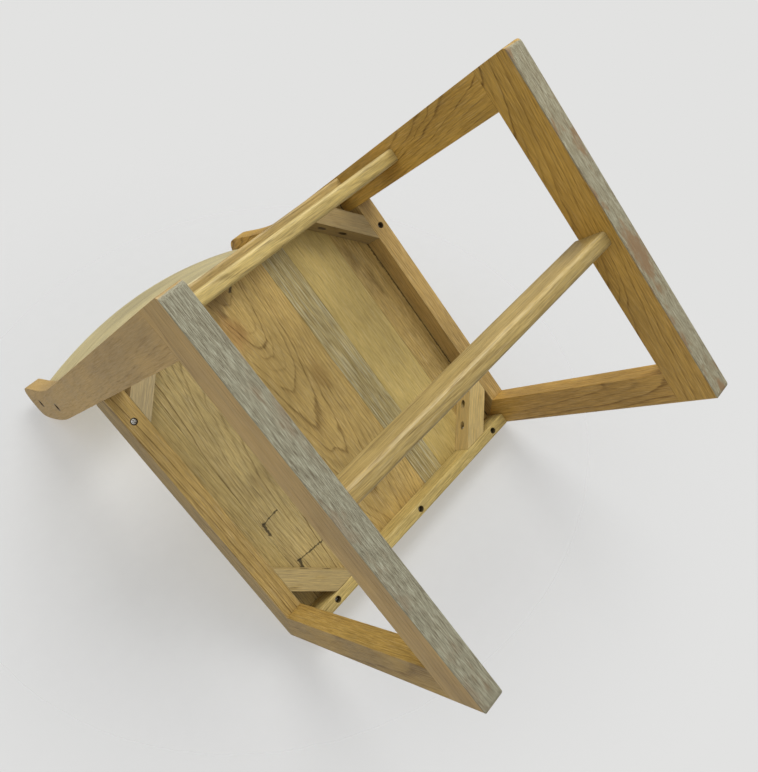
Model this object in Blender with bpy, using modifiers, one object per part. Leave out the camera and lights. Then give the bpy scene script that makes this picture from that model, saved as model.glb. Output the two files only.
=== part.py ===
"""Sled-base side chair in solid oak, standing on its runners.

Metres, +Z up. The sitter faces -Y, so +X is the sitter's left. X = 0 is the plane of symmetry,
Z = 0 is the floor, and Y = 0 is half way between the front of the runners and the back of the backrest.
Heights are above the floor. Depths called "behind the heel" are along Y from the rear end of the
runners, so that a depth in front of the heel is negative.
"""

from math import cos, pi, radians, sin

import bmesh
import bpy
from mathutils import Matrix, Vector
from mathutils.geometry import interpolate_bezier

# Overall
WIDTH = 0.508
RUNNER_LENGTH = 0.485
POST_TOP = 0.864
SEAT_TOP = 0.456
BACK_REACH = 0.0386  # furthest point of the backrest behind the heel
HEEL = (RUNNER_LENGTH - BACK_REACH) / 2  # Y of the rear end of the runners
GAP = 0.0003  # clearance between pieces that touch
CUT_CLEARANCE = 0.0001  # keeps a cutter's side off the face beside it

# Side frames
FRAME = 0.0275  # thickness of every frame member
RUNNER_HEIGHT = 0.057
FRONT_LEG = 0.048
REAR_LEG = 0.0545
POST_WAIST = 0.690  # height where the rear post's front edge starts to curve back
POST_LEAN = 0.004  # how far forward the post leans from the runner to its waist
RAIL_HEIGHT = 0.054
RAIL_BOTTOM = SEAT_TOP - RAIL_HEIGHT
TOE_RADIUS = 0.006
FRONT_CORNER = 0.0055  # rounding of the upright corners at the front of a frame
SEAT_CORNER_RADIUS = 0.008
EASING = 0.0028  # rounding of the long edges
EASING_STEPS = 2

# Cross members
CROSS_RAIL = 0.019
STRETCHER = 0.020
STRETCHER_HEIGHT = 0.052
STRETCHER_EASING = 0.0055
STRETCHER_EASING_STEPS = 4
FRONT_RAIL_INSET = 0.001
REAR_RAIL_INSET = 0.004
REAR_STRETCHER_INSET = 0.015
REAR_STRETCHER_BOTTOM = 0.256
FLOOR_STRETCHER_FRONT = -0.252  # behind the heel
FLOOR_STRETCHER_BOTTOM = 0.015

# Seat
SEAT_THICKNESS = 0.018
SEAT_UNDERSIDE = SEAT_TOP - SEAT_THICKNESS
LIP = 0.008  # side rail left outside the rabbet that holds the seat
SEAT_SEAMS = (-0.175, -0.098, -0.0545, 0.076, 0.194)

# Corner blocks: distances from the corner along each rail
BLOCK_INNER = 0.092
BLOCK_OUTER = 0.050

# Backrest
BACK_THICKNESS = 0.019
BACK_HEIGHT = 0.204
BACK_TOP = 0.848
BACK_END = 0.004  # rear face behind the heel, where it meets the posts at the top
BACK_BULGE = 0.036
BACK_LEAN = radians(11)
BACK_STEPS = 20
BACK_SCREWS = (0.052, 0.150)  # below the top edge, along the panel

# Loose tenons
TENON = 0.009
END_GAP = 0.001  # left at the end of a mortise or a screw hole

# Wood screws
SCREW_LENGTH = 0.038
SHANK_RADIUS = 0.002
HEAD_RADIUS = 0.0043
HEAD_HEIGHT = 0.0026
COUNTERBORE_RADIUS = 0.0048
SCREW_STEPS = 12
SEAT_SCREW_SPACING = 0.188
SEAT_SCREW_MIDDLE = -0.0055
SEAT_SCREW_SEAT = 0.412  # height of the face that a seat screw's head bears on
PROUD_SCREW_SEAT = 0.4045  # the left side rail's screw stands nearly at the mouth of its hole
SIDE_SCREW_Y = -0.1005  # behind the heel
SIDE_SCREW_X = 0.2420
BLOCK_SCREW_ALONG = 0.064
BLOCK_SCREW_SIDE = 0.053
BLOCK_SCREW_SEAT = 0.022

SIDES = {"left": 1, "right": -1}
FRAME_X = (WIDTH - FRAME) / 2  # middle of a side frame
INNER_X = WIDTH / 2 - FRAME  # inner face of a side frame
SEAT_HALF = WIDTH / 2 - LIP - GAP
FRONT_RAIL_BACK = HEEL - RUNNER_LENGTH + FRONT_RAIL_INSET + CROSS_RAIL
REAR_RAIL_FRONT = HEEL - REAR_RAIL_INSET - CROSS_RAIL

COLOURS = {
    "frame": (0.36, 0.22, 0.085, 1),
    "runner": (0.33, 0.26, 0.15, 1),
    "seat": (0.42, 0.27, 0.095, 1),
    "rail": (0.45, 0.31, 0.12, 1),
    "back": (0.47, 0.34, 0.15, 1),
    "tenon": (0.55, 0.42, 0.24, 1),
    "steel": (0.46, 0.46, 0.44, 1),
}


# Scene and materials


def clear_scene():
    for obj in list(bpy.data.objects):
        bpy.data.objects.remove(obj)


def new_collection(name):
    collection = bpy.data.collections.new(name)
    bpy.context.scene.collection.children.link(collection)
    return collection


def paint(obj, finish):
    material = bpy.data.materials.new(obj.name)
    material.use_nodes = True
    shader = material.node_tree.nodes["Principled BSDF"]
    shader.inputs["Base Color"].default_value = COLOURS[finish]
    steel = finish == "steel"
    shader.inputs["Metallic"].default_value = 1.0 if steel else 0.0
    shader.inputs["Roughness"].default_value = 0.35 if steel else 0.5
    obj.data.materials.clear()
    obj.data.materials.append(material)


# Making meshes


def add_object(name, mesh, collection, parent):
    obj = bpy.data.objects.new(name, mesh)
    collection.objects.link(obj)
    obj.parent = parent
    return obj


def mesh_of(bm, name):
    mesh = bpy.data.meshes.new(name)
    bm.to_mesh(mesh)
    bm.free()
    return mesh


def box_mesh(name, corner, opposite):
    """A box between two opposite corners."""
    corner, opposite = Vector(corner), Vector(opposite)
    size = [abs(extent) for extent in opposite - corner]
    bm = bmesh.new()
    bmesh.ops.create_cube(bm, size=1.0)
    bmesh.ops.scale(bm, vec=size, verts=bm.verts)
    bmesh.ops.translate(bm, vec=(corner + opposite) / 2, verts=bm.verts)
    return mesh_of(bm, name)


def extruded_mesh(name, outlines, thickness, matrix):
    """Closed outlines in a plane, filled and given a thickness; a second outline is a hole."""
    curve = bpy.data.curves.new(name, "CURVE")
    curve.dimensions = "2D"
    curve.fill_mode = "BOTH"
    curve.extrude = thickness / 2
    for outline in outlines:
        spline = curve.splines.new("POLY")
        spline.points.add(len(outline) - 1)
        for point, (u, v) in zip(spline.points, outline):
            point.co = (u, v, 0, 1)
        spline.use_cyclic_u = True
    guide = bpy.data.objects.new(name, curve)
    bpy.context.scene.collection.objects.link(guide)
    graph = bpy.context.evaluated_depsgraph_get()
    mesh = bpy.data.meshes.new_from_object(guide.evaluated_get(graph))
    bpy.data.objects.remove(guide)
    bm = bmesh.new()
    bm.from_mesh(mesh)
    bmesh.ops.remove_doubles(bm, verts=bm.verts, dist=1e-6)
    bm.transform(matrix)
    bmesh.ops.recalc_face_normals(bm, faces=bm.faces)
    bpy.data.meshes.remove(mesh)
    return mesh_of(bm, name)


def evaluated_mesh(obj):
    graph = bpy.context.evaluated_depsgraph_get()
    return bpy.data.meshes.new_from_object(obj.evaluated_get(graph))


def weigh_edges(mesh, chosen):
    """Gives bevel weight 1 to each sharp edge whose two ends satisfy chosen(start, end)."""
    bm = bmesh.new()
    bm.from_mesh(mesh)
    weight = bm.edges.layers.float.new("bevel_weight_edge")
    for edge in bm.edges:
        start, end = (vert.co for vert in edge.verts)
        sharp = edge.calc_face_angle() > radians(40)
        edge[weight] = 1.0 if sharp and chosen(start, end) else 0.0
    bm.to_mesh(mesh)
    bm.free()


def ease(obj, width=EASING, steps=EASING_STEPS):
    """Rounds the weighted edges."""
    bevel = obj.modifiers.new("ease", "BEVEL")
    bevel.width = width
    bevel.segments = steps
    bevel.limit_method = "WEIGHT"


def combine(obj, other, operation):
    boolean = obj.modifiers.new(f"{operation} {other.name}", "BOOLEAN")
    boolean.operation = operation
    boolean.object = other


def smooth(obj):
    obj.data.shade_smooth()
    obj.data.set_sharp_from_angle(angle=radians(30))


# Cutters, which never show


def add_helper(name, mesh):
    helper = add_object(name, mesh, cutters, None)
    helper.hide_render = True
    helper.display_type = "WIRE"
    return helper


def box_helper(name, corner, opposite):
    return add_helper(name, box_mesh(name, corner, opposite))


# Turned pieces


def turned_mesh(name, profile):
    """A profile of (radius, height) pairs, running down from the top of the axis, as an open wire."""
    bm = bmesh.new()
    points = [bm.verts.new((radius, 0, height)) for radius, height in profile]
    for first, second in zip(points, points[1:]):
        bm.edges.new((first, second))
    return mesh_of(bm, name)


def turn(obj):
    screw = obj.modifiers.new("turn", "SCREW")
    screw.angle = 2 * pi
    screw.steps = SCREW_STEPS
    screw.render_steps = SCREW_STEPS
    screw.use_merge_vertices = True
    screw.merge_threshold = 0.00001


def aim(obj, location, direction):
    """Puts the object's origin at a point, with its +Z axis along a direction."""
    obj.location = location
    obj.rotation_mode = "QUATERNION"
    obj.rotation_quaternion = Vector(direction).to_track_quat("Z", "Y")


def screw_profile():
    """Pan head below the origin, shank above it, ending in a short point."""
    point = 0.004
    return (
        (0, SCREW_LENGTH),
        (SHANK_RADIUS, SCREW_LENGTH - point),
        (SHANK_RADIUS, 0),
        (HEAD_RADIUS, 0),
        (HEAD_RADIUS, -0.6 * HEAD_HEIGHT),
        (0.72 * HEAD_RADIUS, -HEAD_HEIGHT),
        (0, -HEAD_HEIGHT),
    )


def hole_profile(depth):
    """Clearance for the shank above the origin, and a counterbore of a depth below it."""
    hole = SHANK_RADIUS + GAP
    end = SCREW_LENGTH + END_GAP
    return (
        (0, end),
        (hole, end),
        (hole, GAP),
        (COUNTERBORE_RADIUS, GAP),
        (COUNTERBORE_RADIUS, -depth),
        (0, -depth),
    )


def drive_screw(name, seat, direction, depth, pieces):
    """A screw whose head bears at seat, with its hole and counterbore cut in each of the pieces."""
    hole = add_helper(f"hole_{name}", turned_mesh(f"hole_{name}", hole_profile(depth)))
    turn(hole)
    aim(hole, seat, direction)
    for piece in pieces:
        combine(piece, hole, "DIFFERENCE")
    screw = add_object(name, turned_mesh(name, screw_profile()), parts, chair)
    turn(screw)
    aim(screw, seat, direction)
    smooth(screw)
    paint(screw, "steel")


# Side frames


def arc(centre, radius, start, end, steps):
    """Points on an arc, with angles in degrees from the first axis."""
    angles = [radians(start + (end - start) * step / steps) for step in range(steps + 1)]
    return [(centre[0] + radius * cos(a), centre[1] + radius * sin(a)) for a in angles]


def bezier(start, handle, other_handle, end, steps):
    """Points on a curve after its start."""
    knots = [Vector((*point, 0)) for point in (start, handle, other_handle, end)]
    return [(p.x, p.y) for p in interpolate_bezier(*knots, steps + 1)[1:]]


def post_rear(height):
    """The straight part of the rear post's rear edge."""
    return -POST_LEAN * (height - RUNNER_HEIGHT) / (POST_WAIST - RUNNER_HEIGHT)


def post_front(height):
    """The straight part of the rear post's front edge."""
    return post_rear(height) - REAR_LEG


def post_top_outline():
    """The top of the rear post, up its rear edge, over the ear and down its front edge."""
    flare = (post_rear(0.650), 0.650)
    ear = (0.0215, 0.826)
    crown = (0.002, POST_TOP - 0.004)
    brow = (-0.022, POST_TOP)
    shoulder = (-0.042, POST_TOP - 0.032)
    waist = (post_front(POST_WAIST), POST_WAIST)
    points = [(0.0, RUNNER_HEIGHT), flare]
    points += bezier(flare, (post_rear(0.735), 0.735), (0.016, 0.788), ear, 8)
    points += bezier(ear, (0.0228, 0.846), (0.012, 0.857), crown, 5)
    points += bezier(crown, (-0.006, 0.8625), (-0.014, POST_TOP), brow, 3)
    points += bezier(brow, (-0.034, POST_TOP), (-0.0375, 0.850), shoulder, 5)
    points += bezier(shoulder, (-0.050, 0.795), (post_front(0.745), 0.745), waist, 5)
    return points


def frame_outlines():
    """A whole side frame in (depth behind the heel, height): its outside, and its window."""
    toe = -RUNNER_LENGTH
    corner = (toe + SEAT_CORNER_RADIUS, SEAT_TOP - SEAT_CORNER_RADIUS)
    outside = arc((toe + TOE_RADIUS, TOE_RADIUS), TOE_RADIUS, 180, 270, 4)
    outside += arc((-TOE_RADIUS, TOE_RADIUS), TOE_RADIUS, 270, 360, 4)
    outside += post_top_outline()
    outside += [(post_front(SEAT_TOP), SEAT_TOP)]
    outside += arc(corner, SEAT_CORNER_RADIUS, 90, 180, 4)
    window = [
        (toe + FRONT_LEG, RUNNER_HEIGHT),
        (post_front(RUNNER_HEIGHT), RUNNER_HEIGHT),
        (post_front(RAIL_BOTTOM), RAIL_BOTTOM),
        (toe + FRONT_LEG, RAIL_BOTTOM),
    ]
    return [outside, window]


def plan_outline():
    """A side frame in (across, depth behind the heel), a hair wide, with its front corners rounded."""
    half = FRAME / 2 + CUT_CLEARANCE
    middle = half - FRONT_CORNER
    front = FRONT_CORNER - RUNNER_LENGTH - CUT_CLEARANCE
    outline = arc((-middle, front), FRONT_CORNER, 180, 270, 5)
    outline += arc((middle, front), FRONT_CORNER, 270, 360, 5)
    return outline + [(half, 0.1), (-half, 0.1)]


def upright(x):
    """Stands a plane of (depth behind the heel, height) across the chair at x."""
    stand = Matrix(((0, 0, 1), (1, 0, 0), (0, 1, 0))).to_4x4()
    return Matrix.Translation((x, HEEL, 0)) @ stand


def miter_ends(shift):
    """The miter between front leg and side rail, run past both of its ends and moved rearwards."""
    inner = Vector((-RUNNER_LENGTH + FRONT_LEG, RAIL_BOTTOM))
    outer = Vector((-RUNNER_LENGTH, SEAT_TOP))
    past = 0.02 * (outer - inner).normalized()
    move = Vector((shift, 0))
    return tuple(inner - past + move), tuple(outer + past + move)


def region_outlines():
    """The part of the frame's plane that each member keeps."""
    above = RUNNER_HEIGHT + GAP
    clear = 0.015
    front, back = -0.6, 0.1  # past both ends of the frame
    window = post_front(RUNNER_HEIGHT) - clear  # inside the frame's window
    leg_inner, leg_outer = miter_ends(-GAP / 2)
    rail_inner, rail_outer = miter_ends(GAP / 2)
    return {
        "runner": [(front, -clear), (back, -clear), (back, RUNNER_HEIGHT), (front, RUNNER_HEIGHT)],
        "front_leg": [
            leg_inner,
            (leg_inner[0], above),
            (front, above),
            (front, leg_outer[1]),
            leg_outer,
        ],
        "side_rail": [
            rail_inner,
            rail_outer,
            (post_front(rail_outer[1]) - GAP, rail_outer[1]),
            (post_front(rail_inner[1]) - GAP, rail_inner[1]),
        ],
        "rear_post": [
            (window, above),
            (back, above),
            (back, POST_TOP + clear),
            (window, POST_TOP + clear),
            (window, SEAT_TOP + clear),
            (post_front(SEAT_TOP), SEAT_TOP),
            (post_front(RAIL_BOTTOM), RAIL_BOTTOM),
            (window, RAIL_BOTTOM - clear),
        ],
    }


def make_frame(side):
    """The four members of one side frame, cut from one eased blank so that they lie flush."""
    sign = SIDES[side]
    x = sign * FRAME_X
    blank_mesh = extruded_mesh(f"blank_{side}", frame_outlines(), FRAME, upright(x))
    faces = (x - FRAME / 2, x + FRAME / 2)
    weigh_edges(blank_mesh, lambda p, q: any(abs(p.x - f) + abs(q.x - f) < 1e-5 for f in faces))
    blank = add_helper(f"blank_{side}", blank_mesh)
    ease(blank)
    above = Matrix.Translation((x, HEEL, POST_TOP / 2))
    plan = extruded_mesh(f"plan_{side}", [plan_outline()], 1.1 * POST_TOP, above)
    combine(blank, add_helper(f"plan_{side}", plan), "INTERSECT")
    eased = evaluated_mesh(blank)
    rabbet = box_helper(
        f"rabbet_{side}",
        (sign * (INNER_X - 0.005), HEEL - RUNNER_LENGTH - 0.01, SEAT_UNDERSIDE),
        (sign * (WIDTH / 2 - LIP), HEEL, SEAT_TOP + 0.01),
    )
    members = {}
    for member, outline in region_outlines().items():
        name = f"{member}_{side}"
        region_mesh = extruded_mesh(f"region_{name}", [outline], 2 * FRAME, upright(x))
        region = add_helper(f"region_{name}", region_mesh)
        piece = add_object(name, eased.copy(), parts, chair)
        combine(piece, region, "INTERSECT")
        if member in ("front_leg", "side_rail"):
            combine(piece, rabbet, "DIFFERENCE")
        smooth(piece)
        paint(piece, "runner" if member == "runner" else "frame")
        members[member] = piece
    return members


# Cross members


def make_beam(name, low, high, easing, steps):
    """A straight board along X with its long edges eased."""
    mesh = box_mesh(name, low, high)
    weigh_edges(mesh, lambda p, q: abs(p.x - q.x) > 1e-4)
    beam = add_object(name, mesh, parts, chair)
    ease(beam, easing, steps)
    smooth(beam)
    paint(beam, "rail")
    return beam


def make_cross_members():
    half = INNER_X - GAP
    toe = HEEL - RUNNER_LENGTH
    rail_top = SEAT_UNDERSIDE - GAP
    rear = HEEL - REAR_STRETCHER_INSET
    rung = HEEL + FLOOR_STRETCHER_FRONT
    spans = {
        "front_rail": (toe + FRONT_RAIL_INSET, CROSS_RAIL, RAIL_BOTTOM, rail_top),
        "rear_rail": (REAR_RAIL_FRONT, CROSS_RAIL, RAIL_BOTTOM, rail_top),
        "rear_stretcher": (
            rear - STRETCHER,
            STRETCHER,
            REAR_STRETCHER_BOTTOM,
            REAR_STRETCHER_BOTTOM + STRETCHER_HEIGHT,
        ),
        "runner_stretcher": (
            rung,
            STRETCHER,
            FLOOR_STRETCHER_BOTTOM,
            FLOOR_STRETCHER_BOTTOM + STRETCHER_HEIGHT,
        ),
    }
    beams = {}
    for name, (front, thickness, bottom, top) in spans.items():
        easing = (EASING, EASING_STEPS)
        if name.endswith("stretcher"):
            easing = (STRETCHER_EASING, STRETCHER_EASING_STEPS)
        beams[name] = make_beam(name, (-half, front, bottom), (half, front + thickness, top), *easing)
    return beams


# Corner blocks


def make_corner_blocks():
    """Diagonal braces in the four corners under the seat. Each leaves a hollow behind it."""
    blocks = {}
    height = SEAT_UNDERSIDE - RAIL_BOTTOM - 2 * GAP
    middle = (SEAT_UNDERSIDE + RAIL_BOTTOM) / 2
    outline = [(BLOCK_OUTER, GAP), (BLOCK_INNER, GAP), (GAP, BLOCK_INNER), (GAP, BLOCK_OUTER)]
    corners = {"front": (FRONT_RAIL_BACK, 1), "rear": (REAR_RAIL_FRONT, -1)}
    for end, (y, depth_sign) in corners.items():
        for side, sign in SIDES.items():
            name = f"corner_block_{end}_{side}"
            turn_in = Matrix.Diagonal((-sign, depth_sign, 1, 1))
            matrix = Matrix.Translation((sign * INNER_X, y, middle)) @ turn_in
            mesh = extruded_mesh(name, [outline], height, matrix)
            block = add_object(name, mesh, parts, chair)
            paint(block, "seat")
            blocks[end, side] = block
    return blocks


# Seat


def make_seat():
    """Six boards cut from one eased panel, which is notched round the rear posts."""
    front = HEEL - RUNNER_LENGTH
    rear = HEEL - REAR_RAIL_INSET
    panel_mesh = box_mesh("panel", (-SEAT_HALF, front, SEAT_UNDERSIDE + GAP), (SEAT_HALF, rear, SEAT_TOP))
    weigh_edges(panel_mesh, lambda p, q: abs(p.z - q.z) < 1e-5 and abs(p.y - q.y) < 1e-5)
    panel = add_helper("panel", panel_mesh)
    ease(panel, width=0.004, steps=3)
    for side, sign in SIDES.items():
        notch = box_helper(
            f"notch_{side}",
            (sign * (INNER_X - GAP), HEEL + post_front(SEAT_TOP) - GAP, SEAT_UNDERSIDE - 0.01),
            (sign * WIDTH / 2, HEEL + 0.01, SEAT_TOP + 0.01),
        )
        combine(panel, notch, "DIFFERENCE")
    notched = evaluated_mesh(panel)
    edges = (-0.3, *SEAT_SEAMS, 0.3)
    boards = []
    for number, (low, high) in enumerate(zip(edges, edges[1:]), start=1):
        name = f"seat_board_{number}"
        strip = box_helper(f"strip_{number}", (low + GAP / 2, -0.5, 0.3), (high - GAP / 2, 0.5, 0.6))
        board = add_object(name, notched.copy(), parts, chair)
        combine(board, strip, "INTERSECT")
        smooth(board)
        paint(board, "seat")
        boards.append(board)
    return boards


def board_at(boards, x):
    """The seat board that covers a place along X."""
    return boards[sum(seam < x for seam in SEAT_SEAMS)]


# Backrest


def back_matrix():
    """From the panel's own frame, with the top of its rear face at its ends on the X axis, to the chair's."""
    return Matrix.Translation((0, HEEL + BACK_END, BACK_TOP)) @ Matrix.Rotation(-BACK_LEAN, 4, "X")


def make_backrest():
    """A panel bowed to the rear between the posts, leaning back."""
    half = INNER_X - GAP
    bm = bmesh.new()
    bmesh.ops.create_cube(bm, size=1.0)
    bmesh.ops.scale(bm, vec=(2 * half, BACK_THICKNESS, BACK_HEIGHT), verts=bm.verts)
    bmesh.ops.translate(bm, vec=(0, -BACK_THICKNESS / 2, -BACK_HEIGHT / 2), verts=bm.verts)
    long_edges = [e for e in bm.edges if abs(e.verts[0].co.x - e.verts[1].co.x) > 1e-4]
    bmesh.ops.subdivide_edges(bm, edges=long_edges, cuts=BACK_STEPS - 1, use_grid_fill=True)
    for vert in bm.verts:
        vert.co.y += BACK_BULGE * (1 - (vert.co.x / half) ** 2)
    bm.transform(back_matrix())
    mesh = mesh_of(bm, "backrest")
    weigh_edges(mesh, lambda p, q: abs(p.x - q.x) > 1e-4)
    back = add_object("backrest", mesh, parts, chair)
    ease(back)
    smooth(back)
    paint(back, "back")
    return back


# Loose tenons


def add_tenon(name, centre, size, pieces):
    """A tenon glued into a mortise in each of two pieces."""
    centre, half = Vector(centre), Vector(size) / 2
    longest = max(range(3), key=lambda axis: size[axis])
    spare = Vector((GAP, GAP, GAP))
    spare[longest] = END_GAP
    mortise = box_helper(f"mortise_{name}", centre - half - spare, centre + half + spare)
    for piece in pieces:
        combine(piece, mortise, "DIFFERENCE")
    mesh = box_mesh(name, centre - half, centre + half)
    weigh_edges(mesh, lambda p, q: abs(p[longest] - q[longest]) > 1e-4)
    tenon = add_object(name, mesh, parts, chair)
    ease(tenon, width=0.0015, steps=1)
    smooth(tenon)
    paint(tenon, "tenon")


def join_frame(side, frame):
    """The tenons inside one side frame."""
    x = SIDES[side] * FRAME_X
    toe = HEEL - RUNNER_LENGTH
    rail_middle = RAIL_BOTTOM + 0.018
    add_tenon(
        f"tenon_front_leg_{side}",
        (x, toe + FRONT_LEG / 2, RUNNER_HEIGHT),
        (TENON, 0.028, 0.044),
        (frame["runner"], frame["front_leg"]),
    )
    add_tenon(
        f"tenon_rear_post_{side}",
        (x, HEEL - REAR_LEG / 2, RUNNER_HEIGHT),
        (TENON, 0.032, 0.044),
        (frame["runner"], frame["rear_post"]),
    )
    add_tenon(
        f"tenon_rail_rear_{side}",
        (x, HEEL + post_front(rail_middle), rail_middle),
        (TENON, 0.032, 0.024),
        (frame["side_rail"], frame["rear_post"]),
    )
    add_tenon(
        f"tenon_miter_{side}",
        (x, toe + 0.035, RAIL_BOTTOM + 0.016),
        (TENON, 0.032, 0.016),
        (frame["side_rail"], frame["front_leg"]),
    )


def join_cross_members(side, frame, beams):
    """The tenons at one end of each cross member."""
    x = SIDES[side] * INNER_X
    joints = {
        "front_rail": (frame["front_leg"], 0.022, 0.0),
        "rear_rail": (frame["rear_post"], 0.022, 0.0),
        "rear_stretcher": (frame["rear_post"], 0.030, 0.0),
        "runner_stretcher": (frame["runner"], 0.026, -0.005),
    }
    for name, (member, width, drop) in joints.items():
        box = [Vector(corner) for corner in beams[name].bound_box]
        middle = sum(box, Vector()) / len(box)
        centre = (x, middle.y, middle.z + drop)
        add_tenon(f"tenon_{name}_{side}", centre, (0.030, 0.008, width), (member, beams[name]))


# Fasteners


def fasten_seat(frames, beams, boards):
    """Screws up through the front rail and the side rails into the seat."""
    depth = SEAT_SCREW_SEAT - RAIL_BOTTOM + 0.002
    y = FRONT_RAIL_BACK - CROSS_RAIL / 2
    places = {"left": 1, "middle": 0, "right": -1}
    for place, step in places.items():
        x = SEAT_SCREW_MIDDLE + step * SEAT_SCREW_SPACING
        seat = (x, y, SEAT_SCREW_SEAT)
        pieces = (beams["front_rail"], board_at(boards, x))
        drive_screw(f"screw_front_rail_{place}", seat, (0, 0, 1), depth, pieces)
    for side, sign in SIDES.items():
        height = PROUD_SCREW_SEAT if side == "left" else SEAT_SCREW_SEAT
        seat = (sign * SIDE_SCREW_X, HEEL + SIDE_SCREW_Y, height)
        pieces = (frames[side]["side_rail"], board_at(boards, seat[0]))
        depth = height - RAIL_BOTTOM + 0.002
        drive_screw(f"screw_side_rail_{side}", seat, (0, 0, 1), depth, pieces)


def fasten_blocks(frames, beams, blocks):
    """Two screws through each corner block, one into the rail across the chair and one into the side rail."""
    height = (SEAT_UNDERSIDE + RAIL_BOTTOM) / 2
    ends = {
        "front": (FRONT_RAIL_BACK, 1, beams["front_rail"]),
        "rear": (REAR_RAIL_FRONT, -1, beams["rear_rail"]),
    }
    for (end, side), block in blocks.items():
        sign = SIDES[side]
        corner_y, inward, cross = ends[end]
        corner_x = sign * INNER_X
        depth = BLOCK_INNER - BLOCK_SCREW_ALONG - BLOCK_SCREW_SEAT + 0.006
        seat = (corner_x - sign * BLOCK_SCREW_ALONG, corner_y + inward * BLOCK_SCREW_SEAT, height)
        drive_screw(f"screw_block_{end}_{side}_cross", seat, (0, -inward, 0), depth, (block, cross))
        depth = BLOCK_INNER - BLOCK_SCREW_SIDE - BLOCK_SCREW_SEAT + 0.006
        seat = (corner_x - sign * BLOCK_SCREW_SEAT, corner_y + inward * BLOCK_SCREW_SIDE, height)
        rail = frames[side]["side_rail"]
        drive_screw(f"screw_block_{end}_{side}_side", seat, (sign, 0, 0), depth, (block, rail))


def fasten_backrest(frames, back):
    """Two screws through each post into the end of the backrest."""
    counterbore = 0.008
    for side, sign in SIDES.items():
        for place, below in zip(("upper", "lower"), BACK_SCREWS):
            centre = back_matrix() @ Vector((0, -BACK_THICKNESS / 2, -below))
            seat = (sign * (WIDTH / 2 - counterbore), centre.y, centre.z)
            pieces = (frames[side]["rear_post"], back)
            depth = counterbore + 0.002
            drive_screw(f"screw_back_{side}_{place}", seat, (-sign, 0, 0), depth, pieces)


clear_scene()
parts = new_collection("sled_chair")
cutters = new_collection("cutters")
chair = add_object("chair_frame", None, parts, None)

frames = {side: make_frame(side) for side in SIDES}
beams = make_cross_members()
blocks = make_corner_blocks()
boards = make_seat()
back = make_backrest()
for side in SIDES:
    join_frame(side, frames[side])
    join_cross_members(side, frames[side], beams)
fasten_seat(frames, beams, boards)
fasten_blocks(frames, beams, blocks)
fasten_backrest(frames, back)
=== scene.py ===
"""Looks for the side chair: oak showing wear, steel screws, a pale floor and soft light."""

import math
from types import SimpleNamespace

import bmesh
import bpy
from mathutils import Matrix, Vector


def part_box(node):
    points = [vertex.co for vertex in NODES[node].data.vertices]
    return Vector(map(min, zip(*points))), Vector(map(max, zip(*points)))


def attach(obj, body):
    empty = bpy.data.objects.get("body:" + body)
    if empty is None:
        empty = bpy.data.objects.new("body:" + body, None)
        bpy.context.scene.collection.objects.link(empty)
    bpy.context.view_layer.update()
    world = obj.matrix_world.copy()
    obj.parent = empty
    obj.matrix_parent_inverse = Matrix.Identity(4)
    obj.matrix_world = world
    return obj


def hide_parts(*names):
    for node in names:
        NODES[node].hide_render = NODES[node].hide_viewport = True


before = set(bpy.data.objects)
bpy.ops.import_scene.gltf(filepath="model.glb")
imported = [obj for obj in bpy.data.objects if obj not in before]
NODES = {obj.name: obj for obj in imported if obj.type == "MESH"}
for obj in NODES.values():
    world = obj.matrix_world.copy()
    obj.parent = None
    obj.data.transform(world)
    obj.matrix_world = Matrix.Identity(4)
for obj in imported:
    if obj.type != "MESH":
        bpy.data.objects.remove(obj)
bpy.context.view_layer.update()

MM = 0.001
UP = Vector((0, 0, 1))

# Camera: where it stands, what it looks at and which way is up in the picture
CAMERA_AT = Vector((0.4635, 0.2097, -0.6132))
CAMERA_AIM = Vector((-0.0914, -0.0739, 0.4380))
CAMERA_UP = Vector((-0.6101, 0.7845, -0.1109))
CAMERA_LENS = 36.44
CAMERA_SENSOR = 36


def middle(node):
    low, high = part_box(node)
    return (low + high) / 2


def circle(radius, z, steps):
    turns = (2 * math.pi * step / steps for step in range(steps))
    return [Vector((radius * math.cos(turn), radius * math.sin(turn), z)) for turn in turns]


def add_object(name, data):
    made = bpy.data.objects.new(name, data)
    bpy.context.scene.collection.objects.link(made)
    return made


# Colours


def srgb(red, green, blue):
    """A colour as seen on a screen, from 0 to 255, as linear light."""

    def linear(level):
        level /= 255
        return level / 12.92 if level <= 0.04045 else ((level + 0.055) / 1.055) ** 2.4

    return (linear(red), linear(green), linear(blue), 1.0)


def tinted(colour, red, green, blue):
    """A linear colour with its three levels multiplied, up to white."""
    levels = zip(colour, (red, green, blue))
    return (*(min(1.0, level * factor) for level, factor in levels), 1.0)


# Node graphs


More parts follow.
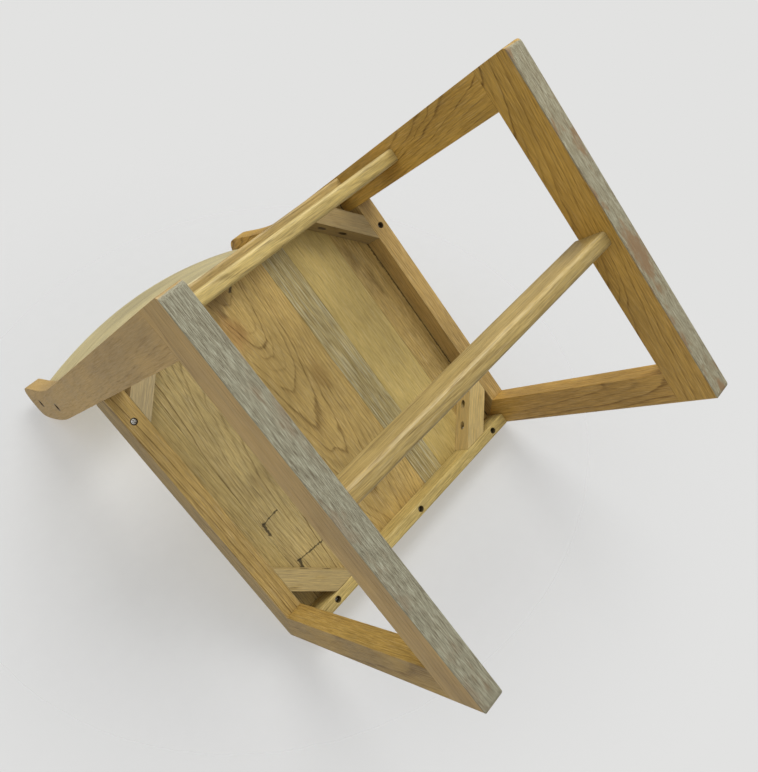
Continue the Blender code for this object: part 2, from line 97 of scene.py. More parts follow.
class Graph:
    """Short calls for building one node tree."""

    def __init__(self, tree):
        self.tree = tree
        self.tree.nodes.clear()

    def node(self, kind, **settings):
        made = self.tree.nodes.new(kind)
        for key, value in settings.items():
            setattr(made, key, value)
        return made

    def feed(self, socket, value):
        if isinstance(value, bpy.types.NodeSocket):
            self.tree.links.new(value, socket)
        else:
            socket.default_value = value

    def math(self, operation, *values):
        made = self.node("ShaderNodeMath", operation=operation)
        for socket, value in zip(made.inputs, values):
            self.feed(socket, value)
        return made.outputs[0]

    def vector(self, operation, *values):
        made = self.node("ShaderNodeVectorMath", operation=operation)
        for socket, value in zip(made.inputs, values):
            self.feed(socket, value)
        scalar = operation in ("LENGTH", "DOT_PRODUCT", "DISTANCE")
        return made.outputs["Value" if scalar else "Vector"]

    def scaled(self, vector, factor):
        made = self.node("ShaderNodeVectorMath", operation="SCALE")
        self.feed(made.inputs[0], vector)
        self.feed(made.inputs["Scale"], factor)
        return made.outputs[0]

    def split(self, vector):
        made = self.node("ShaderNodeSeparateXYZ")
        self.feed(made.inputs[0], vector)
        return made.outputs

    def place(self):
        """The surface's point in the CAD's frame."""
        return self.node("ShaderNodeTexCoord").outputs["Object"]

    def noise(self, vector, scale, seed, detail, rough, out="Fac"):
        """Noise with scale features in a metre along each axis."""
        made = self.node("ShaderNodeTexNoise")
        moved = self.vector("MULTIPLY_ADD", vector, scale, (seed, 1.7 * seed, -0.6 * seed))
        self.feed(made.inputs["Vector"], moved)
        made.inputs["Scale"].default_value = 1.0
        made.inputs["Detail"].default_value = detail
        made.inputs["Roughness"].default_value = rough
        return made.outputs[out]

    def drift(self, vector, scale, reach, seed, rough=0.5):
        """Noise as an offset, over a range of reach along each axis."""
        field = self.noise(vector, scale, seed, 3, rough, "Color")
        return self.vector("MULTIPLY_ADD", field, reach, tuple(-part / 2 for part in reach))

    def fade(self, value, start, end, low=0.0, high=1.0):
        """A smooth step from low at start to high at end."""
        made = self.node("ShaderNodeMapRange", interpolation_type="SMOOTHSTEP")
        for key, given in (
            ("Value", value),
            ("From Min", start),
            ("From Max", end),
            ("To Min", low),
            ("To Max", high),
        ):
            self.feed(made.inputs[key], given)
        return made.outputs["Result"]

    def mix(self, factor, first, second, blend="MIX"):
        """A mix of two colours, whose sockets on this node are 6, 7 and, coming out, 2."""
        made = self.node("ShaderNodeMix", data_type="RGBA", blend_type=blend)
        self.feed(made.inputs["Factor"], factor)
        self.feed(made.inputs[6], first)
        self.feed(made.inputs[7], second)
        return made.outputs[2]

    def ramp(self, value, stops):
        """Grey levels at positions, as (position, level) pairs."""
        made = self.node("ShaderNodeValToRGB")
        elements = made.color_ramp.elements
        while len(elements) < len(stops):
            elements.new(0.5)
        for element, (place, level) in zip(elements, stops):
            element.position = place
            element.color = (level, level, level, 1)
        self.feed(made.inputs[0], value)
        return made.outputs[0]

    def bump(self, height, strength, distance):
        made = self.node("ShaderNodeBump")
        made.inputs["Strength"].default_value = strength
        made.inputs["Distance"].default_value = distance
        self.feed(made.inputs["Height"], height)
        return made.outputs[0]

    def blend(self, factor, first, second):
        """A mix of two shaders."""
        made = self.node("ShaderNodeMixShader")
        for socket, value in zip(made.inputs, (factor, first, second)):
            self.feed(socket, value)
        return made.outputs[0]

    def finish(self, surface, kind="ShaderNodeOutputMaterial"):
        self.feed(self.node(kind).inputs["Surface"], surface)


def new_material(name):
    """A material and the empty graph to fill it with."""
    material = bpy.data.materials.new(name)
    material.use_nodes = True
    return material, Graph(material.node_tree)


# Oak

# How a board is cut and worn, unless BOARDS says otherwise
PLAIN = dict(
    tone=(190, 158, 100),  # the clear wood's colour on a screen
    lean=(0.03, 0.01),  # the log's tilt against the board, which draws cathedral figure
    sway=0.02,  # how far the log's centre line wanders, in metres
    ring=4.0,  # width of a growth ring, in millimetres
    rings=0.35,  # strength of the rings' soft dark bands
    lines=0.45,  # strength of the rings' thin dark lines
    pores=0.45,  # strength of the pores and fibres
    streaks=0.0,  # strength of long pale and dark streaks
    bow=0.0,  # straightens a board that curves by bow times x squared
    eased=(0, 1, 2),  # the board's axes, 2 along the grain, whose faces' rounded edges are painted paler
    worn=0.5,  # how pale those edges are painted: rubbed varnish and a painted highlight
    weather=0.0,  # how grey the wood is where it stands on the floor
    stains=0.4,  # strength of brown stains in that grey
    marks=(),  # functions that draw scratches and blotches
    grime=0.8,  # how dark the counterbores are painted, in and round the screws' holes
    grime_reach=4.88,  # how far that darkening reaches from a screw's axis, in millimetres
)

# Noise on a board: features in a metre across the grain, twice, and along it; what is added to
# the board's seed; detail; roughness
PATTERNS = {
    "pores": ((820, 820, 34), 7, 2, 0.6),
    "fine_pores": ((1900, 1900, 90), 9, 2, 0.6),
    "flecks": ((1000, 1000, 30), 10, 2, 0.6),
    "fibres": ((1200, 1200, 40), 11, 3, 0.6),
    "streaks": ((700, 700, 10), 13, 3, 0.7),
    "slow": ((36, 36, 1.6), 17, 2, 0.5),
    "clouds": ((14, 14, 7), 23, 3, 0.55),
    "edge_patches": ((70, 70, 26), 31, 3, 0.6),
    "tide": ((34, 34, 8), 41, 4, 0.65),
    "bare_fibres": ((2300, 2300, 85), 43, 3, 0.75),
    "bare_bands": ((560, 560, 26), 45, 3, 0.6),
    "stains": ((34, 34, 12), 47, 4, 0.7),
}
SWAY_SCALE = (7, 7, 3.6)
RIPPLE_SCALE = (90, 90, 13)
RIPPLE = 2.6 * MM  # from the crest of a ripple to its trough
RIPPLE_SEED = 3

# Growth rings: levels at positions across one ring, from the start of the year
RING_BAND = ((0, 0.6), (0.1, 1), (0.45, 0.35), (0.85, 0), (0.97, 0.15), (1, 0.6))
RING_LINE = ((0, 0.2), (0.05, 1), (0.12, 1), (0.22, 0.12), (0.3, 0), (1, 0.2))
RING_UNEVENNESS = 2.0  # in ring widths
RING_DRIFT = 0.37  # changes of spacing in each ring
FAINTEST_RING = 0.35

# Colours: what the clear wood's red, green and blue are multiplied by, or colours of their own
DARK_WOOD = (0.56, 0.49, 0.40)
DEEP_WOOD = (0.27, 0.22, 0.18)
STREAK_TONE = srgb(206, 202, 172)
BORE_DARK_TONE = srgb(46, 34, 22)
ASH = srgb(160, 158, 134)
ASH_SHADED = srgb(150, 146, 122)
ASH_DARK = srgb(98, 88, 71)
ASH_PALE = srgb(198, 196, 172)
ASH_STAIN = srgb(140, 114, 86)


class Board:
    """The coordinates that one board's patterns are drawn in.

    place is the CAD's frame. In along, z runs with the grain from the board's centre, and facing
    holds the three parts of the surface's normal in the same axes. In log, z is the middle of the
    growth rings.
    """

    def __init__(self, g, look, centre, seed):
        self.g = g
        self.seed = seed
        self.place = g.place()
        spot = self.straightened(look.bow) if look.bow else self.place
        turn = Vector(look.grain).normalized().rotation_difference(UP)
        tilt = Vector((*look.lean, 1)).rotation_difference(UP)
        normal = g.node("ShaderNodeNewGeometry").outputs["Normal"]
        self.along = self.turned(spot, turn, centre)
        self.log = self.turned(spot, tilt @ turn, centre + Vector(look.pith) * MM)
        self.facing = g.split(self.turned(normal, turn, Vector()))
        self.patterns = {}

    def straightened(self, bow):
        g = self.g
        x, y, z = g.split(self.place)
        made = g.node("ShaderNodeCombineXYZ")
        g.feed(made.inputs[0], x)
        g.feed(made.inputs[1], g.math("MULTIPLY_ADD", g.math("MULTIPLY", x, x), bow, y))
        g.feed(made.inputs[2], z)
        return made.outputs[0]

    def turned(self, vector, rotation, origin):
        mapping = self.g.node("ShaderNodeMapping", vector_type="POINT")
        self.g.feed(mapping.inputs["Vector"], vector)
        mapping.inputs["Rotation"].default_value = rotation.to_euler()
        mapping.inputs["Location"].default_value = -(rotation @ origin)
        return mapping.outputs[0]

    def pattern(self, name):
        """A noise of PATTERNS, made once for each board."""
        if name not in self.patterns:
            scale, offset, detail, rough = PATTERNS[name]
            made = self.g.noise(self.along, scale, self.seed + offset, detail, rough)
            self.patterns[name] = made
        return self.patterns[name]


def growth_rings(board, look):
    """Soft dark bands and thin dark lines, at a distance from the log's wandering centre line."""
    g, seed = board.g, board.seed
    sway = g.drift(board.log, SWAY_SCALE, (look.sway, look.sway, 0), seed)
    ripple = g.drift(board.log, RIPPLE_SCALE, (RIPPLE, RIPPLE, 0), seed + RIPPLE_SEED, 0.55)
    bent = g.vector("ADD", g.vector("ADD", board.log, sway), ripple)
    radius = g.vector("LENGTH", g.vector("MULTIPLY", bent, (1, 1, 0)))
    count = g.math("DIVIDE", radius, look.ring * MM)
    spacing = g.node("ShaderNodeTexNoise", noise_dimensions="1D")
    g.feed(spacing.inputs["W"], g.math("MULTIPLY_ADD", count, RING_DRIFT, seed))
    spacing.inputs["Scale"].default_value = 1.0
    count = g.math("MULTIPLY_ADD", spacing.outputs["Fac"], RING_UNEVENNESS, count)
    phase = g.math("FRACT", count)
    each = g.node("ShaderNodeTexWhiteNoise", noise_dimensions="1D")
    g.feed(each.inputs["W"], g.math("ADD", g.math("FLOOR", count), seed))
    strong = g.fade(each.outputs["Value"], 0, 1, FAINTEST_RING, 1.0)
    band = g.math("MULTIPLY", g.ramp(phase, RING_BAND), strong)
    line = g.math("MULTIPLY", g.ramp(phase, RING_LINE), strong)
    return band, line


def rubbed_and_highlit_edges(board, eased):
    """1 where a rounded edge is painted paler, in patches: rubbed varnish and a painted highlight.

    On an axis whose part of the normal is n, 4 n2 (1 - n2) is 1 half way round the edge and 0 on
    the flat faces.
    """
    g = board.g
    edge = None
    for axis in eased:
        square = g.math("MULTIPLY", board.facing[axis], board.facing[axis])
        part = g.math("MULTIPLY", g.math("SUBTRACT", 1.0, square), g.math("MULTIPLY", square, 4.0))
        edge = part if edge is None else g.math("MAXIMUM", edge, part)
    return g.fade(g.math("MULTIPLY_ADD", board.pattern("edge_patches"), 0.9, edge), 1.1, 1.45)


def bare_wood(board, stains):
    """Grey wood without varnish: pale and dark fibres, and brown stains."""
    g = board.g
    fibres = board.pattern("bare_fibres")
    colour = g.mix(g.fade(board.pattern("bare_bands"), 0.35, 0.65), ASH, ASH_SHADED)
    colour = g.mix(g.fade(fibres, 0.5, 0.6, 0, 0.8), colour, ASH_DARK)
    colour = g.mix(g.fade(fibres, 0.46, 0.38, 0, 0.7), colour, ASH_PALE)
    return g.mix(g.fade(board.pattern("stains"), 0.52, 0.66, 0, stains), colour, ASH_STAIN)


def on_the_floor(board):
    """1 on the face that stands on the floor, up to a ragged line about 2 mm above it."""
    g = board.g
    ragged = g.math("SUBTRACT", board.pattern("tide"), 0.5)
    height = g.math("MULTIPLY_ADD", ragged, 4 * MM, g.split(board.place)[2])
    return g.fade(height, 2.6 * MM, 0.9 * MM)


def varnished_wood(board, look, band, line, open_grain):
    """The wood's colour: rings, pores, flecks, streaks, slow changes, end grain, and rounded edges
    painted paler for rubbed varnish and a painted highlight.
    """
    g = board.g
    clear = srgb(*look.tone)
    dark = tinted(clear, *DARK_WOOD)
    deep = tinted(clear, *DEEP_WOOD)
    pale = srgb(*(min(255, 0.7 * level + 74) for level in look.tone))
    colour = g.mix(g.math("MULTIPLY", band, look.rings), clear, dark)
    colour = g.mix(g.fade(board.pattern("slow"), 0.4, 0.68, 0, 0.18), colour, dark)
    colour = g.mix(g.fade(board.pattern("flecks"), 0.54, 0.64, 0, 0.3), colour, pale)
    broken = g.fade(board.pattern("pores"), 0.38, 0.54, 0.5 * look.lines, look.lines)
    colour = g.mix(g.math("MULTIPLY", line, broken), colour, deep)
    colour = g.mix(g.math("MULTIPLY", open_grain, look.pores), colour, deep)
    fine = g.fade(board.pattern("fine_pores"), 0.5, 0.6, 0, 0.4 * look.pores)
    colour = g.mix(fine, colour, deep)
    if look.streaks:
        streak = board.pattern("streaks")
        colour = g.mix(g.fade(streak, 0.53, 0.6, 0, 0.7 * look.streaks), colour, deep)
        colour = g.mix(g.fade(streak, 0.46, 0.39, 0, look.streaks), colour, STREAK_TONE)
    lighter = g.fade(board.pattern("fibres"), 0.3, 0.7, -0.4 * look.pores, 0.4 * look.pores)
    lighter = g.math("ADD", lighter, g.fade(board.pattern("clouds"), 0.3, 0.7, 0.88, 1.12))
    colour = g.mix(1.0, colour, lighter, "MULTIPLY")
    end_grain = g.math("ABSOLUTE", board.facing[2])
    colour = g.mix(g.fade(end_grain, 0.6, 0.95, 0, 0.4), colour, dark)
    # Rounded edges painted paler: partly rubbed varnish, partly a painted highlight
    worn = g.math("MULTIPLY", rubbed_and_highlit_edges(board, look.eased), look.worn)
    return g.mix(worn, colour, pale)


def oak(name, look, centre, seed, bores=()):
    """Varnished oak, as look says, for a board with screws in the given counterbores."""
    material, g = new_material(name)
    board = Board(g, look, centre, seed)
    band, line = growth_rings(board, look)
    # Oak's pores are open mainly in each ring's dark band
    open_grain = g.math("MULTIPLY_ADD", band, 0.65, 0.35)
    open_grain = g.math("MULTIPLY", g.fade(board.pattern("pores"), 0.5, 0.58), open_grain)
    colour = varnished_wood(board, look, band, line, open_grain)
    rough = g.fade(board.pattern("clouds"), 0.3, 0.7, 0.34, 0.46)
    rough = g.math("MULTIPLY_ADD", open_grain, 0.2, rough)
    if look.weather:
        low = on_the_floor(board)
        bare = bare_wood(board, look.stains)
        colour = g.mix(g.math("MULTIPLY", low, look.weather), colour, bare)
        rough = g.math("MULTIPLY_ADD", low, 0.35, rough)
    for mark in look.marks:
        colour = mark(g, board.place, colour)
    # Each screw's counterbore is painted darker, in it and round it
    for seat, out in bores:
        colour = darken_bore(g, board.place, colour, seat, out, look)

    # Fibres stand up; pores and the rings' lines are sunk
    relief = g.math("MULTIPLY", open_grain, -1.0)
    relief = g.math("MULTIPLY_ADD", board.pattern("fibres"), 0.25, relief)
    relief = g.math("MULTIPLY_ADD", line, -0.4, relief)
    shader = g.node("ShaderNodeBsdfPrincipled")
    g.feed(shader.inputs["Base Color"], colour)
    g.feed(shader.inputs["Roughness"], rough)
    g.feed(shader.inputs["Normal"], g.bump(relief, 0.4, 0.3 * MM))
    shader.inputs["Specular IOR Level"].default_value = 0.24
    shader.inputs["Coat Weight"].default_value = 0.04
    shader.inputs["Coat Roughness"].default_value = 0.22
    g.finish(shader.outputs[0])
    return material


def darken_bore(g, place, colour, seat, out, look):
    """Darker colour painted in a counterbore and round it, where the screw's head bears at seat and
    faces out.
    """
    reach = look.grime_reach * MM
    offset = g.vector("SUBTRACT", place, tuple(seat))
    along = g.vector("DOT_PRODUCT", offset, tuple(out))
    radius = g.vector("DISTANCE", offset, g.scaled(tuple(out), along))
    near = g.fade(radius, reach + 0.3 * MM, reach, 0, look.grime)
    above = g.math("GREATER_THAN", along, -0.5 * MM)
    return g.mix(g.math("MULTIPLY", near, above), colour, BORE_DARK_TONE)


# Marks on the seat's underside, by x and y in millimetres

SEAT_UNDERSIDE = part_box("seat_board_4")[0].z


def on_the_underside(g, place):
    return g.fade(g.split(place)[2], SEAT_UNDERSIDE + 1.5 * MM, SEAT_UNDERSIDE + 0.8 * MM)


def scratch(start, end, width):
    """A ragged dark scuff between two points."""

    def draw(g, place, colour):
        first = Vector((*start, 0)) * MM
        step = Vector((*end, 0)) * MM - first
        ragged = g.drift(place, (260, 260, 260), (6 * MM, 6 * MM, 0), start[0], 0.6)
        offset = g.vector("SUBTRACT", g.vector("ADD", place, ragged), tuple(first))
        offset = g.vector("MULTIPLY", offset, (1, 1, 0))
        along = g.math("DIVIDE", g.vector("DOT_PRODUCT", offset, tuple(step)), step.length_squared)
        along = g.math("MAXIMUM", g.math("MINIMUM", along, 1.0), 0.0)
        gap = g.vector("DISTANCE", offset, g.scaled(tuple(step), along))
        mask = g.fade(gap, width * MM, 0.3 * width * MM, 0, 0.8)
        mask = g.math("MULTIPLY", mask, on_the_underside(g, place))
        return g.mix(mask, colour, srgb(38, 30, 20))

    return draw


def blotch(centre, reach, strength, tint):
    """A soft stain that reaches this far across and along the boards, multiplied in."""

    def draw(g, place, colour):
        ragged = g.drift(place, (110, 26, 60), (20 * MM, 60 * MM, 0), centre[0], 0.6)
        origin = Vector((*centre, 0)) * MM
        offset = g.vector("SUBTRACT", g.vector("ADD", place, ragged), tuple(origin))
        offset = g.vector("MULTIPLY", offset, (1 / (reach[0] * MM), 1 / (reach[1] * MM), 0))
        mask = g.fade(g.vector("LENGTH", offset), 1.0, 0.3, 0, strength)
        mask = g.math("MULTIPLY", mask, on_the_underside(g, place))
        return g.mix(mask, colour, srgb(*tint), "MULTIPLY")

    return draw


SEAM_STAINS = (
    blotch((-186, 108), (9, 36), 0.5, (160, 150, 130)),
    blotch((-197, 58), (9, 36), 0.5, (160, 150, 130)),
)
OUTER_SEAM = scratch((-225.6, -240), (-225.6, 200), 1.8)
REAR_STAINS = (
    blotch((38, 178), (30, 26), 0.75, (176, 168, 166)),
    blotch((46, 128), (22, 42), 0.6, (214, 188, 182)),
    blotch((-24, 2), (20, 34), 0.4, (196, 176, 150)),
    scratch((8, 183), (13, 178), 3.2),
)
FRONT_SCUFFS = (
    scratch((160, -104), (188, -106), 1.5),
    scratch((188, -106), (190, -124), 3.6),
    scratch((134, -186), (183, -181), 1.7),
    scratch((180, -182), (184, -196), 4.0),
    blotch((150, -60), (36, 30), 0.3, (176, 164, 150)),
)


# Boards

ALONG_X, ALONG_Y, ALONG_Z = (1, 0, 0), (0, 1, 0), (0, 0, 1)
BROWN = (196, 162, 97)
AMBER = (200, 160, 76)
STRAW = (190, 165, 102)
REAR_POST = dict(eased=(0,), grime_reach=7.4)


def cut(grain, pith, **changes):
    """The looks of one board.

    grain is the axis of its grain, pith is the way from its centre to the log's in millimetres,
    and changes are what differs from PLAIN.
    """
    return SimpleNamespace(**{**PLAIN, **changes}, grain=grain, pith=pith)


BOARDS = {
    "runner_left": cut(ALONG_Y, (-60, 0, 34), tone=BROWN, weather=0.95, lines=0.25, pores=0.25),
    "runner_right": cut(
        ALONG_Y,
        (-46, 0, 30),
        tone=AMBER,
        lean=(0.07, 0.01),
        ring=3.6,
        lines=0.7,
        weather=0.9,
        stains=0.9,
    ),
    "front_leg_left": cut(ALONG_Z, (-90, 20, 0), tone=(184, 150, 77), lines=0.3),
    "front_leg_right": cut(ALONG_Z, (-50, 22, 0), tone=(196, 156, 78), lines=0.5),
    "rear_post_left": cut(
        ALONG_Z, (-80, 30, 0), tone=BROWN, rings=0.15, lines=0.15, pores=0.2, **REAR_POST
    ),
    "rear_post_right": cut(
        ALONG_Z, (-52, 30, 0), tone=AMBER, lean=(0.06, 0.02), ring=3.6, lines=0.7, **REAR_POST
    ),
    "side_rail_left": cut(ALONG_Y, (-70, 0, -40), tone=(186, 156, 90), lines=0.7),
    "side_rail_right": cut(ALONG_Y, (60, 0, -50), tone=(193, 161, 96)),
    "front_rail": cut(ALONG_X, (0, 60, 30), tone=(211, 187, 114), pores=0.6),
    "rear_rail": cut(ALONG_X, (0, -60, 30), tone=(190, 162, 98), grime=0.4),
    "rear_stretcher": cut(
        ALONG_X, (0, -30, 90), tone=(210, 186, 115), rings=0.2, lines=0.2, worn=0.15
    ),
    "runner_stretcher": cut(ALONG_X, (0, -50, 60), tone=STRAW, lines=0.3, worn=0.3),
    "corner_block_front_left": cut(
        (1, 1, 0), (-30, 30, 20), tone=(180, 152, 82), ring=3.0, lines=0.9, pores=0.95
    ),
    "corner_block_front_right": cut(
        (1, -1, 0), (30, 30, 20), tone=(204, 172, 92), ring=3.0, pores=0.95, grime=0.4
    ),
    "corner_block_rear_left": cut(
        (1, -1, 0), (-30, -30, 20), tone=(180, 156, 98), ring=3.0, pores=0.95, grime=0.5
    ),
    "corner_block_rear_right": cut(
        (1, 1, 0), (30, -30, 20), tone=(154, 126, 64), ring=3.0, pores=0.9, grime=0.5
    ),
    "seat_board_1": cut(
        ALONG_Y,
        (180, 0, 70),
        tone=(189, 161, 95),
        rings=0.25,
        pores=0.6,
        marks=(*SEAM_STAINS, OUTER_SEAM),
    ),
    "seat_board_2": cut(
        ALONG_Y,
        (160, 0, 40),
        tone=(200, 176, 106),
        rings=0.1,
        lines=0.1,
        pores=0.35,
        marks=SEAM_STAINS,
    ),
    "seat_board_3": cut(ALONG_Y, (-120, 0, 20), tone=(192, 174, 116), streaks=0.6, pores=0.6),
    "seat_board_4": cut(
        ALONG_Y,
        (14, 0, 46),
        tone=(200, 171, 102),
        lean=(0.02, 0.11),
        lines=0.6,
        sway=0.03,
        marks=REAR_STAINS,
    ),
    "seat_board_5": cut(
        ALONG_Y,
        (-16, 0, 44),
        tone=(199, 177, 116),
        lean=(0.03, -0.1),
        ring=4.6,
        rings=0.55,
        lines=1.0,
        pores=0.5,
        marks=FRONT_SCUFFS,
    ),
    "seat_board_6": cut(ALONG_Y, (90, 0, 30), tone=(200, 178, 114)),
    "backrest": cut(
        ALONG_X,
        (0, -60, -30),
        tone=(208, 193, 140),
        rings=0.2,
        lines=0.15,
        bow=0.7,
        pores=0.3,
    ),
}


def tenon_look(node):
    """A loose tenon's grain runs the way it crosses its joint."""
    if "rail_rear" in node or "miter" in node:
        grain = ALONG_Y
    elif "rail" in node or "stretcher" in node:
        grain = ALONG_X
    else:
        grain = ALONG_Z
    return cut(grain, (0, 50, 50), tone=(206, 182, 134), worn=0.0)


def named(prefix):
    return sorted(name for name in NODES if name.startswith(prefix))


def dress(node, material):
    for slot in NODES[node].material_slots:
        slot.material = material


def dress_the_wood():
    """Give every board and tenon its own oak, with seeds apart so that no two are alike."""
    for index, (node, look) in enumerate(BOARDS.items()):
        seed = 5.3 * index + 1.0
        dress(node, oak(f"oak_{node}", look, middle(node), seed, bores_in(node)))
    for index, node in enumerate(named("tenon_")):
        seed = 3.1 * index + 200.0
        dress(node, oak(f"oak_{node}", tenon_look(node), middle(node), seed))


# Screws

HEAD_HEIGHT = 2.6 * MM
RIM_SHARE = 0.28  # of the head's height, at its edge
DOME_POWER = 2.6
RECESS_REACH = 2.5 * MM
RECESS_HALF_WIDTH = 0.55 * MM
RECESS_DEPTH = 1.5 * MM
SHANK_RADIUS = 2.0 * MM
NECK_LENGTH = 0.3 * MM
NECK_FLARE = 1.12  # times the shank's radius, under the head
THREAD_PITCH = 1.7 * MM
THREAD_ROWS = 7  # rows of points in each turn
THREAD_STEEPNESS = 3.2
CORE = 0.68  # of the shank's radius, at the root of the thread
SMOOTH_SHANK = 0.34  # of the shank's length, without thread
TIP_LENGTH = 5 * MM
TIP_SHARE = 0.06  # of the shank's radius, at the point
RING_STEPS = 48
HEAD_RINGS = 18


def steel(name):
    """Zinc-plated steel, dulled in patches, with a fine speckled bump."""
    material, g = new_material(name)
    place = g.place()
    spots = g.noise(place, (1100, 1100, 1100), 2.0, 3, 0.6)
    cloud = g.noise(place, (300, 300, 300), 7.0, 2, 0.5)
    colour = g.mix(g.fade(cloud, 0.4, 0.68), srgb(206, 204, 196), srgb(128, 122, 108))
    shader = g.node("ShaderNodeBsdfPrincipled")
    g.feed(shader.inputs["Base Color"], colour)
    g.feed(shader.inputs["Roughness"], g.fade(spots, 0.35, 0.7, 0.24, 0.46))
    g.feed(shader.inputs["Normal"], g.bump(spots, 0.3, 0.08 * MM))
    shader.inputs["Metallic"].default_value = 1.0
    g.finish(shader.outputs[0])
    return material


def crown(point, head_radius):
    """How far a point of the head lies above its underside, with the cross recess sunk in."""
    out = point.length / head_radius
    swell = math.sqrt(max(0.0, 1 - out**DOME_POWER))
    dome = HEAD_HEIGHT * (RIM_SHARE + (1 - RIM_SHARE) * swell)
    arm = min(abs(point.x), abs(point.y))
    inside = max(0.0, 1 - (arm / RECESS_HALF_WIDTH) ** 4)
    reach = max(0.0, 1 - (point.length / RECESS_REACH) ** 6)
    return dome - RECESS_DEPTH * min(1.0, 1.6 * inside) * reach


def head_rings(head_radius):
    """Rings of points from the middle of the crown out to its rim, then in to the shank."""
    rings = []
    for row in range(HEAD_RINGS):
        points = circle(head_radius * (row + 0.6) / (HEAD_RINGS - 0.4), 0, RING_STEPS)
        for point in points:
            point.z = -crown(Vector((point.x, point.y)), head_radius)
        rings.append(points)
    rings.append(circle(head_radius, 0, RING_STEPS))
    rings.append(circle(NECK_FLARE * SHANK_RADIUS, 0, RING_STEPS))
    return rings


def shank_rings(length):
    """Rings of points from the neck down to the tip, with a thread on the lower part."""
    smooth_end = SMOOTH_SHANK * length
    rings = [circle(SHANK_RADIUS, z, RING_STEPS) for z in (NECK_LENGTH, smooth_end)]
    rows = int((length - smooth_end) / THREAD_PITCH * THREAD_ROWS)
    for row in range(1, rows + 1):
        z = smooth_end + (length - smooth_end) * row / rows
        tip = min(1.0, (length - z) / TIP_LENGTH)
        grow = min(1.0, (z - smooth_end) / THREAD_PITCH)
        root = SHANK_RADIUS * (1 - (1 - CORE) * grow)
        points = []
        for step in range(RING_STEPS):
            share = step / RING_STEPS
            phase = (z / THREAD_PITCH - share) % 1.0
            ridge = max(0.0, 1 - abs(phase - 0.5) * THREAD_STEEPNESS)
            radius = (root + (SHANK_RADIUS - root) * ridge) * (TIP_SHARE + (1 - TIP_SHARE) * tip)
            turn = 2 * math.pi * share
            points.append(Vector((radius * math.cos(turn), radius * math.sin(turn), z)))
        rings.append(points)
    return rings


def screw_mesh(name, head_radius, length):
    """A cross-recess pan-head screw along +Z, its head's flat underside at z = 0."""
    bm = bmesh.new()
    rings = [*head_rings(head_radius), *shank_rings(length)]
    rings = [[bm.verts.new(point) for point in points] for points in rings]
    bm.faces.new(reversed(rings[0]))
    for first, second in zip(rings, rings[1:]):
        for a in range(RING_STEPS):
            b = (a + 1) % RING_STEPS
            bm.faces.new((first[a], first[b], second[b], second[a]))
    bm.faces.new(rings[-1])
    bmesh.ops.recalc_face_normals(bm, faces=bm.faces[:])
    mesh = bpy.data.meshes.new(name)
    bm.to_mesh(mesh)
    bm.free()
    mesh.polygons.foreach_set("use_smooth", [True] * len(mesh.polygons))
    return mesh


def screw_place(node):
    """Where a screw's head bears, the way it faces, its length below the head and its radius."""
    low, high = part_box(node)
    size, centre = high - low, (low + high) / 2
    axis = max(range(3), key=lambda index: size[index])
    if "rail" in node:
        faces_low = True  # driven up from under the seat
    elif "back" in node:
        faces_low = centre.x < 0  # driven in from outside the posts
    else:
        inside = 0 if axis == 0 else middle("seat_board_4").y
        faces_low = centre[axis] > inside  # driven out from the corner blocks
    out = Vector((0, 0, 0))
    out[axis] = -1 if faces_low else 1
    seat = centre + out * (size[axis] / 2 - HEAD_HEIGHT)
    return seat, out, size[axis] - HEAD_HEIGHT, min(size) / 2


def bores_in(node):
    """The counterbores in a board, as (seat, way out) for each screw whose box meets its own."""
    low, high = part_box(node)
    found = []
    for screw in named("screw_"):
        start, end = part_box(screw)
        if all(start[k] < high[k] and end[k] > low[k] for k in range(3)):
            found.append(screw_place(screw)[:2])
    return found


def drive_the_screws(metal):
    for node in named("screw_"):
        seat, out, length, head_radius = screw_place(node)
        name = node.replace("screw_", "steel_screw_")
        mesh = screw_mesh(name, head_radius, length)
        turn = Vector((0, 0, -1)).rotation_difference(out)
        twist = Matrix.Rotation(math.radians(37 + 23 * len(name)), 4, "Z")  # each its own way
        mesh.transform(Matrix.Translation(seat) @ turn.to_matrix().to_4x4() @ twist)
        mesh.materials.append(metal)
        piece = add_object(name, mesh)
        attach(piece, "root")
        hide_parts(node)


# Stage

FLOOR_DROP = 0.5 * MM  # below the chair, so that no two faces coincide
FLOOR_STEPS = 64
WELL_ABOVE = 0.1  # above the seat, where only the posts' upper parts are

# The dome's light: an even part, and lobes from above the photograph's floor, from high in front
# of the standing chair and from the sitter's left. Reflections see only a share of the last two,
# which keeps pale rims off the varnish.
DOME_TONE = srgb(250, 251, 255)
DOME_EVEN = 0.15
DOME_ABOVE = 1.0
DOME_FRONT = 0.8
DOME_LEFT = 0.13
DOME_SHARE_IN_GLOSS = 0.2
FRONT = Vector((0, -0.5, 0.86)).normalized()
LEFT = Vector((1, 0, 0))
BACKDROP_TONE = srgb(226, 226, 225)

# Key lights: the way to each from the seat, its distance and width in metres, its power in watts
# and whether reflections show it
KEYS = {
    "key_photo": (Vector((-0.38, 0.74, -0.57)), 2.4, 1.2, 26.5, True),
    "key_standing": (Vector((-0.5, -0.8, 1.0)), 2.6, 1.4, 38.0, False),
}


def floor_material(name, centre, tone, clear, gone, dense):
    """Matt, seen from its front only, and dense near the centre but fading from clear to gone."""
    material, g = new_material(name)
    place = g.place()
    cloud = g.noise(place, (40, 40, 40), 3.0, 3, 0.5)
    shader = g.node("ShaderNodeBsdfDiffuse")
    g.feed(shader.inputs["Color"], g.mix(cloud, tone, tinted(tone, 1.05, 1.05, 1.05)))
    away = g.vector("DISTANCE", place, tuple(centre))
    back = g.node("ShaderNodeNewGeometry").outputs["Backfacing"]
    solid = g.math("MULTIPLY", g.fade(away, clear, gone, dense, 0.0), g.math("SUBTRACT", 1.0, back))
    glass = g.node("ShaderNodeBsdfTransparent")
    g.finish(g.blend(solid, glass.outputs[0], shader.outputs[0]))
    return material


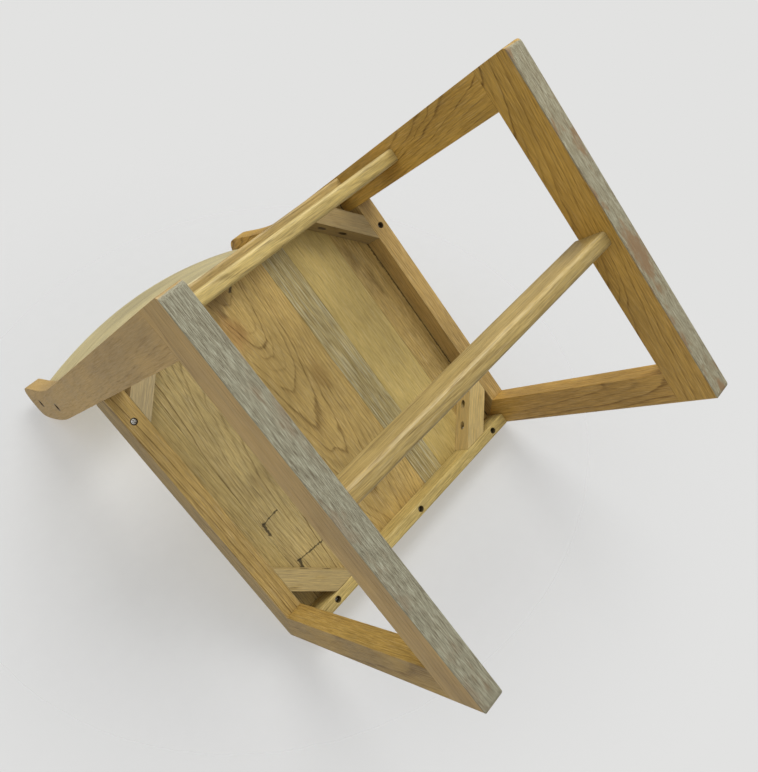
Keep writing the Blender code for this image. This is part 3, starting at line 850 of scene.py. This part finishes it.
def lay_floor(name, under, normal, tone, clear, gone, dense):
    """A round sheet below the point under, facing normal, which only the camera sees.

    It covers what is behind it by the share dense up to clear metres from its middle, and fades
    out at its rim, gone metres away.
    """
    centre = under - FLOOR_DROP * normal
    turn = UP.rotation_difference(normal)
    bm = bmesh.new()
    rim = circle(gone, 0, FLOOR_STEPS)
    bm.faces.new([bm.verts.new(centre + turn @ point) for point in rim])
    mesh = bpy.data.meshes.new(name)
    bm.to_mesh(mesh)
    bm.free()
    mesh.materials.append(floor_material(name, centre, tone, clear, gone, dense))
    floor = add_object(name, mesh)
    floor.visible_diffuse = False
    floor.visible_glossy = False
    floor.visible_transmission = False
    floor.visible_shadow = False


def resting_plane():
    """The floor of the photograph: the chair lies on its seat's front edge and its posts' tops.

    Returns a point under the chair and the plane's normal, which is up in the photograph.
    """
    low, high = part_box("seat_board_4")
    front = Vector((0, low.y, high.z))
    reaches = [
        Vector((0, vertex.co.y - front.y, vertex.co.z - front.z))
        for vertex in NODES["rear_post_left"].data.vertices
    ]
    upper = [reach for reach in reaches if reach.z > WELL_ABOVE]
    top = max(upper, key=lambda reach: math.atan2(reach.z, reach.y))
    along = top.normalized()
    return front + top / 2, Vector((0, along.z, -along.y))


def light_the_dome(above):
    world = bpy.data.worlds.new("studio")
    bpy.context.scene.world = world
    world.use_nodes = True
    g = Graph(world.node_tree)
    way = g.node("ShaderNodeTexCoord").outputs["Generated"]
    ray = g.node("ShaderNodeLightPath").outputs
    share = g.math("MULTIPLY_ADD", ray["Is Glossy Ray"], DOME_SHARE_IN_GLOSS - 1, 1.0)

    def lobe(direction):
        return g.math("MAXIMUM", g.vector("DOT_PRODUCT", way, tuple(direction)), 0.0)

    power = g.math("MULTIPLY_ADD", lobe(above), DOME_ABOVE, DOME_EVEN)
    power = g.math("MULTIPLY_ADD", g.math("MULTIPLY", lobe(FRONT), share), DOME_FRONT, power)
    power = g.math("MULTIPLY_ADD", g.math("MULTIPLY", lobe(LEFT), share), DOME_LEFT, power)
    dome = g.node("ShaderNodeBackground")
    g.feed(dome.inputs["Color"], DOME_TONE)
    g.feed(dome.inputs["Strength"], power)
    backdrop = g.node("ShaderNodeBackground")
    g.feed(backdrop.inputs["Color"], BACKDROP_TONE)
    g.feed(backdrop.inputs["Strength"], 1.0)
    sky = g.blend(ray["Is Camera Ray"], dome.outputs[0], backdrop.outputs[0])
    g.finish(sky, "ShaderNodeOutputWorld")


def hang_the_keys():
    hub = middle("seat_board_4")
    for name, (way, distance, width, power, glossy) in KEYS.items():
        lamp = bpy.data.lights.new(name, "AREA")
        lamp.size = width
        lamp.energy = power
        light = add_object(name, lamp)
        light.location = hub + distance * way.normalized()
        light.rotation_euler = (light.location - hub).to_track_quat("Z", "Y").to_euler()
        light.visible_camera = False
        light.visible_glossy = glossy


def set_the_stage():
    under, up = resting_plane()
    lay_floor("floor_photo", under, up, srgb(203, 203, 201), clear=0.3, gone=0.85, dense=0.62)
    lay_floor("floor_standing", Vector(), UP, srgb(214, 213, 210), clear=0.6, gone=1.7, dense=1.0)
    light_the_dome(up)
    hang_the_keys()
    bpy.context.scene.view_settings.view_transform = "Standard"


def place_camera():
    lens = bpy.data.cameras.new("camera")
    lens.sensor_width = CAMERA_SENSOR
    lens.lens = CAMERA_LENS
    lens.clip_start = 0.05
    camera = add_object("camera", lens)
    back = (CAMERA_AT - CAMERA_AIM).normalized()
    side = CAMERA_UP.cross(back).normalized()
    turn = Matrix((side, back.cross(side), back)).transposed().to_4x4()
    camera.matrix_world = Matrix.Translation(CAMERA_AT) @ turn
    bpy.context.scene.camera = camera


place_camera()
dress_the_wood()
drive_the_screws(steel("zinc_steel"))
set_the_stage()

bpy.context.view_layer.update()
